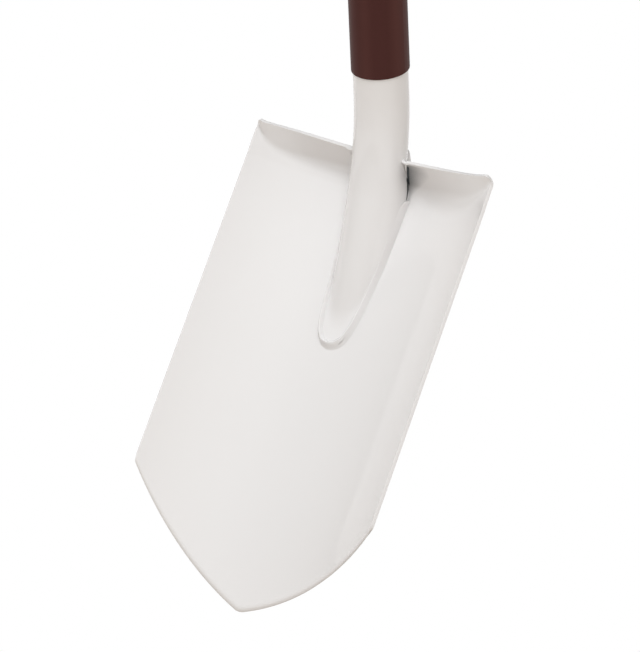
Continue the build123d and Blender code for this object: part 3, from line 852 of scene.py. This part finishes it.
class SpadeTube(bpy.types.PropertyGroup):
    """Sizes of the cranked tube, its tongue and the weld."""

    diameter: bpy.props.FloatProperty(
        name="Diameter", description="Of the tube", unit="LENGTH", default=0.037)
    lift: bpy.props.FloatProperty(
        name="Lift", description="Between the shaft and the blade", subtype="ANGLE", default=radians(41.2))
    leg_angle: bpy.props.FloatProperty(
        name="Leg angle", description="Between the tube's lower leg and the blade", subtype="ANGLE",
        default=radians(20.0))
    leg_length: bpy.props.FloatProperty(
        name="Leg length", description="Straight leg above the blade", unit="LENGTH", default=0.034)
    leg_depth: bpy.props.FloatProperty(
        name="Leg depth", description="Where its axis meets the blade, down from the fold", unit="LENGTH",
        default=0.0423)
    bend_radius: bpy.props.FloatProperty(
        name="Bend radius", description="Centre line of the crank", unit="LENGTH", default=0.218)
    bend_top: bpy.props.FloatProperty(
        name="Bend top", description="Height where the crank starts", unit="LENGTH", default=-0.345)
    top: bpy.props.FloatProperty(
        name="Top", description="Height of the tube's upper end", unit="LENGTH", default=0.372)
    collar_gap: bpy.props.FloatProperty(
        name="Collar gap", description="Between the tube and the sheet behind it", unit="LENGTH", default=0.0008)
    collar_round: bpy.props.FloatProperty(
        name="Collar round", description="How softly the tread turns back round the tube", unit="LENGTH",
        default=0.006)
    collar_drop: bpy.props.FloatProperty(
        name="Collar drop", description="How far the collar's rim lies under the tread's edge", unit="LENGTH",
        default=0.0018)
    collar_rise: bpy.props.FloatProperty(
        name="Collar rise", description="How steeply the collar's rim climbs behind the tube", default=0.75)
    collar_flare: bpy.props.FloatProperty(
        name="Collar flare", description="Where its rim starts to sweep down, from the middle", unit="LENGTH",
        default=0.009)
    press_rise: bpy.props.FloatProperty(
        name="Press rise", description="How far the pressed part goes up past the leg", unit="LENGTH", default=0.035)
    upright: bpy.props.FloatProperty(
        name="Upright sides", description="How straight the pressed tube's sides stand on the blade",
        subtype="FACTOR", default=0.8, min=0.0, max=1.0)
    dip: bpy.props.FloatProperty(
        name="Dip", description="How far the tube's end is pressed down", unit="LENGTH", default=0.0005)
    doming: bpy.props.FloatProperty(
        name="Doming", description="How much the pressed tube falls away to its sides", default=0.1)
    tongue_depth: bpy.props.FloatProperty(
        name="Tongue depth", description="Its tip, down from the fold", unit="LENGTH", default=0.1114)
    tongue_round: bpy.props.FloatProperty(
        name="Tongue round", description="Radius of its tip, over the weld", unit="LENGTH", default=0.0108)
    tongue_flare: bpy.props.FloatProperty(
        name="Tongue flare", description="How far up its sides go on widening", unit="LENGTH", default=0.022)
    tongue_skew: bpy.props.FloatProperty(
        name="Tongue skew", description="How far its tip lies to one side", unit="LENGTH", default=-0.002)
    floor_height: bpy.props.FloatProperty(
        name="Floor height", description="Flat of the tongue, above the blade", unit="LENGTH", default=0.0016)
    floor_sink: bpy.props.FloatProperty(
        name="Floor sink", description="Underside of the tongue, in the weld", unit="LENGTH", default=0.0008)
    floor_round: bpy.props.FloatProperty(
        name="Floor round", description="How softly the tube turns into the tongue", unit="LENGTH", default=0.0025)
    bead_crest: bpy.props.FloatProperty(
        name="Bead crest", description="From the weld's foot to its crest", unit="LENGTH", default=0.003)
    bead_lean: bpy.props.FloatProperty(
        name="Bead lean", description="How much more that is on the right, and less on the left", unit="LENGTH",
        default=0.0007)
    bead_tight: bpy.props.FloatProperty(
        name="Bead width, upper", description="Of the weld beside the tube", unit="LENGTH", default=0.0013)
    bead_height: bpy.props.FloatProperty(
        name="Bead height", description="Of the weld, above the blade", unit="LENGTH", default=0.004)
    bead_end: bpy.props.FloatProperty(
        name="Bead end", description="Level of the weld's upper ends", unit="LENGTH", default=0.2225)
    bead_climb: bpy.props.FloatProperty(
        name="Bead climb", description="How high the weld climbs the tube near its ends", unit="LENGTH",
        default=0.008)


class SpadePaint(bpy.types.PropertyGroup):
    """White paint on the blade and the tube."""

    colour: bpy.props.FloatVectorProperty(
        name="Colour", description="Paint", subtype="COLOR", default=(0.86, 0.841, 0.834), min=0.0, max=1.0)
    shade_colour: bpy.props.FloatVectorProperty(
        name="Uneven colour", description="Paint where it is a little thinner", subtype="COLOR",
        default=(0.845, 0.824, 0.815), min=0.0, max=1.0)
    roughness: bpy.props.FloatProperty(
        name="Roughness", description="How dull the paint is", subtype="FACTOR", default=0.38, min=0.0, max=1.0)
    coat_roughness: bpy.props.FloatProperty(
        name="Gloss roughness", description="How dull its gloss is", subtype="FACTOR", default=0.04, min=0.0, max=1.0)
    # Painted shade: the dark colour laid in the pocket beside the tube
    pocket_shade_colour: bpy.props.FloatVectorProperty(
        name="Pocket colour", description="Painted shade in the pocket beside the tube", subtype="COLOR",
        default=(0.03, 0.04, 0.045), min=0.0, max=1.0)
    # Painted shade: the darker colour along the point's edge
    edge_shade_colour: bpy.props.FloatVectorProperty(
        name="Edge colour", description="Painted shade along the point's edge", subtype="COLOR",
        default=(0.53, 0.49, 0.46), min=0.0, max=1.0)
    # Reach of the painted pocket shade on the tread and on the tube
    pocket_shade_reach: bpy.props.FloatProperty(
        name="Pocket reach", description="How far the painted pocket shade spreads on the tread", unit="LENGTH",
        default=0.02)
    pocket_shade_edge: bpy.props.FloatProperty(
        name="Pocket edge", description="How far the painted pocket shade spreads on the tube", unit="LENGTH", default=0.0015)


class SpadePlastic(bpy.types.PropertyGroup):
    """Brown plastic of the sleeve and the handle."""

    colour: bpy.props.FloatVectorProperty(
        name="Colour", description="Plastic", subtype="COLOR", default=(0.1, 0.039, 0.034), min=0.0, max=1.0)
    shade_colour: bpy.props.FloatVectorProperty(
        name="Uneven colour", description="Plastic where it is a little darker", subtype="COLOR",
        default=(0.071, 0.0255, 0.0225), min=0.0, max=1.0)
    roughness: bpy.props.FloatProperty(
        name="Roughness", description="How dull the plastic is", subtype="FACTOR", default=0.38, min=0.0, max=1.0)
    shine: bpy.props.FloatProperty(
        name="Shine", description="How much light its surface throws back", subtype="FACTOR", default=0.06, min=0.0,
        max=1.0)


class SpadeGrip(bpy.types.PropertyGroup):
    """Soft skin on the handle's bar."""

    wall: bpy.props.FloatProperty(
        name="Wall", description="Thickness of the skin", unit="LENGTH", default=0.00395)
    pitch: bpy.props.FloatProperty(
        name="Pitch", description="From groove to groove", unit="LENGTH", default=0.0065)
    groove_width: bpy.props.FloatProperty(
        name="Groove width", description="Across its top", unit="LENGTH", default=0.0024)
    groove_depth: bpy.props.FloatProperty(
        name="Groove depth", description="Into the skin", unit="LENGTH", default=0.0009)
    plain_end: bpy.props.FloatProperty(
        name="Plain end", description="Smooth skin at each end", unit="LENGTH", default=0.007)
    rim_round: bpy.props.FloatProperty(
        name="Rim radius", description="Edges of the ends and the grooves", unit="LENGTH", default=0.0004)
    colour: bpy.props.FloatVectorProperty(
        name="Colour", description="Rubber", subtype="COLOR", default=(0.03, 0.026, 0.025), min=0.0, max=1.0)
    dust_colour: bpy.props.FloatVectorProperty(
        name="Dust colour", description="Rubber where dust clings to it", subtype="COLOR",
        default=(0.045, 0.04, 0.037), min=0.0, max=1.0)
    roughness: bpy.props.FloatProperty(
        name="Roughness", description="How dull the rubber is", subtype="FACTOR", default=0.65, min=0.0, max=1.0)


class SpadeRivet(bpy.types.PropertyGroup):
    """Steel of the rivet through the handle."""

    colour: bpy.props.FloatVectorProperty(
        name="Colour", description="Clean steel", subtype="COLOR", default=(0.62, 0.61, 0.59), min=0.0, max=1.0)
    dull_colour: bpy.props.FloatVectorProperty(
        name="Dull colour", description="Steel that has dulled", subtype="COLOR", default=(0.47, 0.46, 0.44), min=0.0,
        max=1.0)
    roughness: bpy.props.FloatProperty(
        name="Roughness", description="How dull the steel is", subtype="FACTOR", default=0.24, min=0.0, max=1.0)


class SpadeStudio(bpy.types.PropertyGroup):
    """Floor, light and camera."""

    floor_depth: bpy.props.FloatProperty(
        name="Floor depth", description="How far the floor lies under the tip", subtype="DISTANCE", unit="LENGTH",
        default=0.7, min=0.0)
    sky: bpy.props.FloatProperty(
        name="Sky", description="Light from all round", default=0.25, min=0.0)
    top_lamp: bpy.props.FloatProperty(
        name="Top lamp", description="Power of the large lamp overhead", unit="POWER", default=90.0, min=0.0)
    right_lamp: bpy.props.FloatProperty(
        name="Right lamp", description="Power of the soft lamp on the right", unit="POWER", default=14.0, min=0.0)
    front_lamp: bpy.props.FloatProperty(
        name="Front lamp", description="Power of the soft lamp near the camera", unit="POWER", default=12.0, min=0.0)
    left_lamp: bpy.props.FloatProperty(
        name="Left lamp", description="Power of the soft lamp on the left", unit="POWER", default=17.0, min=0.0)
    camera_place: bpy.props.FloatVectorProperty(
        name="Camera place", description="Where the camera stands", subtype="XYZ", unit="LENGTH",
        default=(1.64168, -2.42249, 1.05002))
    camera_right: bpy.props.FloatVectorProperty(
        name="Camera right", description="The picture's right side, as a direction", subtype="DIRECTION",
        default=(0.830574, 0.555315, -0.042101))
    camera_up: bpy.props.FloatVectorProperty(
        name="Camera up", description="The picture's upper side, as a direction", subtype="DIRECTION",
        default=(-0.232248, 0.414093, 0.880107))
    lens: bpy.props.FloatProperty(
        name="Lens", description="Focal length for the photograph's taller side", unit="CAMERA", default=270.79,
        min=1.0)


class SPADE_OT_blade(bpy.types.Operator):
    """Press the blade with its tread and collar, and paint it"""

    bl_idname = "spade.blade"
    bl_label = "Blade"

    def execute(self, context):
        form = spade_form(context.scene)
        paint = context.scene.spade_paint
        coat(make_blade(form), paint_finish("white_paint", paint, form, paint.pocket_shade_reach))
        return {"FINISHED"}


class SPADE_OT_neck(bpy.types.Operator):
    """Bend the tube, press its tongue on the blade and paint it"""

    bl_idname = "spade.neck"
    bl_label = "Neck tube"

    def execute(self, context):
        form = spade_form(context.scene)
        paint = context.scene.spade_paint
        coat(make_tube(form), paint_finish("white_paint_tube", paint, form, paint.pocket_shade_edge))
        return {"FINISHED"}


class SPADE_OT_welds(bpy.types.Operator):
    """Run the weld round the tongue and the two tacks at the tread, in the tube's paint"""

    bl_idname = "spade.welds"
    bl_label = "Welds"

    def execute(self, context):
        form = spade_form(context.scene)
        finish = bpy.data.materials["white_paint_tube"]
        coat(make_bead(form), finish)
        coat(make_tack(form, "tread_tack_left", -1.0), finish)
        coat(make_tack(form, "tread_tack_right", 1.0), finish)
        return {"FINISHED"}


class SPADE_OT_sleeve(bpy.types.Operator):
    """Dress the sleeve in satin brown plastic"""

    bl_idname = "spade.sleeve"
    bl_label = "Sleeve"

    def execute(self, context):
        dress("shaft_sleeve", sleeve_finish(context.scene.spade_plastic))
        return {"FINISHED"}


class SPADE_OT_handle(bpy.types.Operator):
    """Dress the handle in moulded brown plastic"""

    bl_idname = "spade.handle"
    bl_label = "Handle"

    def execute(self, context):
        dress("handle_body", handle_finish(context.scene.spade_plastic))
        return {"FINISHED"}


class SPADE_OT_grip(bpy.types.Operator):
    """Model the ribbed rubber skin on the handle's bar"""

    bl_idname = "spade.grip"
    bl_label = "Grip"

    def execute(self, context):
        grip = context.scene.spade_grip
        coat(make_grip(grip), grip_finish(grip))
        return {"FINISHED"}


class SPADE_OT_rivet(bpy.types.Operator):
    """Dress the rivet in brushed steel"""

    bl_idname = "spade.rivet"
    bl_label = "Rivet"

    def execute(self, context):
        dress("handle_rivet", rivet_finish(context.scene.spade_rivet))
        return {"FINISHED"}


class SPADE_OT_studio(bpy.types.Operator):
    """Set the floor, the light and the camera"""

    bl_idname = "spade.studio"
    bl_label = "Studio"

    def execute(self, context):
        scene = context.scene
        studio = scene.spade_studio
        scene.view_settings.view_transform = "Standard"
        bpy.ops.object.select_all(action="DESELECT")
        bpy.ops.mesh.primitive_plane_add(size=FLOOR_SIZE, location=(0.0, 0.0, CAD_BOX[0][2] - studio.floor_depth))
        floor = context.object
        floor.name = "floor"
        finish, tone = new_finish("pale_floor")
        ray = tone.node("ShaderNodeLightPath", output="Is Camera Ray")
        gloss = tone.node("ShaderNodeLightPath", output="Is Glossy Ray")
        lit = tone.node("ShaderNodeBsdfDiffuse", {}, {"Color": FLOOR_COLOUR})
        glow = tone.node("ShaderNodeEmission", {}, {"Color": WHITE, "Strength": 1.0})
        seen = tone.node("ShaderNodeMixShader", {}, {0: tone.math("MAXIMUM", ray, gloss), 1: lit, 2: glow})
        tone.node("ShaderNodeOutputMaterial", {}, {"Surface": seen})
        floor.data.materials.append(finish)

        world = bpy.data.worlds.new("studio")
        scene.world = world
        world.use_nodes = True
        world.node_tree.nodes.clear()
        tone = Tone(world.node_tree)
        ray = tone.node("ShaderNodeLightPath", output="Is Camera Ray")
        sky = tone.node("ShaderNodeBackground", {}, {"Color": SKY_COLOUR, "Strength": studio.sky})
        white = tone.node("ShaderNodeBackground", {}, {"Color": WHITE, "Strength": 1.0})
        seen = tone.node("ShaderNodeMixShader", {}, {0: ray, 1: sky, 2: white})
        tone.node("ShaderNodeOutputWorld", {}, {"Surface": seen})

        for name, (place, size, colour) in LAMPS.items():
            bpy.ops.object.light_add(type="AREA", location=place)
            lamp = context.object
            lamp.name = name
            lamp.data.size = size
            lamp.data.energy = getattr(studio, name)
            lamp.data.color = colour
            lamp.visible_glossy = False
            aim = Vector(LAMP_AIM) - lamp.location
            lamp.rotation_euler = aim.to_track_quat("-Z", "Y").to_euler()

        right = Vector(studio.camera_right).normalized()
        up = Vector(studio.camera_up).normalized()
        turn = Matrix((right, up, right.cross(up))).transposed()
        bpy.ops.object.camera_add(location=studio.camera_place, rotation=turn.to_euler())
        camera = context.object
        camera.name = "photo_camera"
        camera.data.sensor_fit = "VERTICAL"
        camera.data.sensor_height = SENSOR_HEIGHT
        camera.data.lens = studio.lens
        camera.data.clip_end = CLIP_END
        scene.camera = camera
        return {"FINISHED"}


class SPADE_PT_panel(bpy.types.Panel):
    """Spade tools in the sidebar of the 3D view"""

    bl_idname = "SPADE_PT_panel"
    bl_label = "Spade"
    bl_space_type = "VIEW_3D"
    bl_region_type = "UI"
    bl_category = "Spade"

    def draw(self, context):
        for operator in OPERATORS:
            self.layout.operator(operator.bl_idname)


GROUPS = {
    "spade_sheet": SpadeSheet,
    "spade_tube": SpadeTube,
    "spade_paint": SpadePaint,
    "spade_plastic": SpadePlastic,
    "spade_grip": SpadeGrip,
    "spade_rivet": SpadeRivet,
    "spade_studio": SpadeStudio,
}
OPERATORS = (
    SPADE_OT_blade,
    SPADE_OT_neck,
    SPADE_OT_welds,
    SPADE_OT_sleeve,
    SPADE_OT_handle,
    SPADE_OT_grip,
    SPADE_OT_rivet,
    SPADE_OT_studio,
)


def register():
    for kind in (*GROUPS.values(), *OPERATORS, SPADE_PT_panel):
        bpy.utils.register_class(kind)
    for name, kind in GROUPS.items():
        setattr(bpy.types.Scene, name, bpy.props.PointerProperty(type=kind))


def unregister():
    for name in GROUPS:
        delattr(bpy.types.Scene, name)
    for kind in (SPADE_PT_panel, *OPERATORS, *GROUPS.values()):
        bpy.utils.unregister_class(kind)


def main():
    register()
    bpy.ops.spade.blade()
    bpy.ops.spade.neck()
    bpy.ops.spade.welds()
    bpy.ops.spade.sleeve()
    bpy.ops.spade.handle()
    bpy.ops.spade.grip()
    bpy.ops.spade.rivet()
    bpy.ops.spade.studio()


if __name__ == "__main__":
    main()
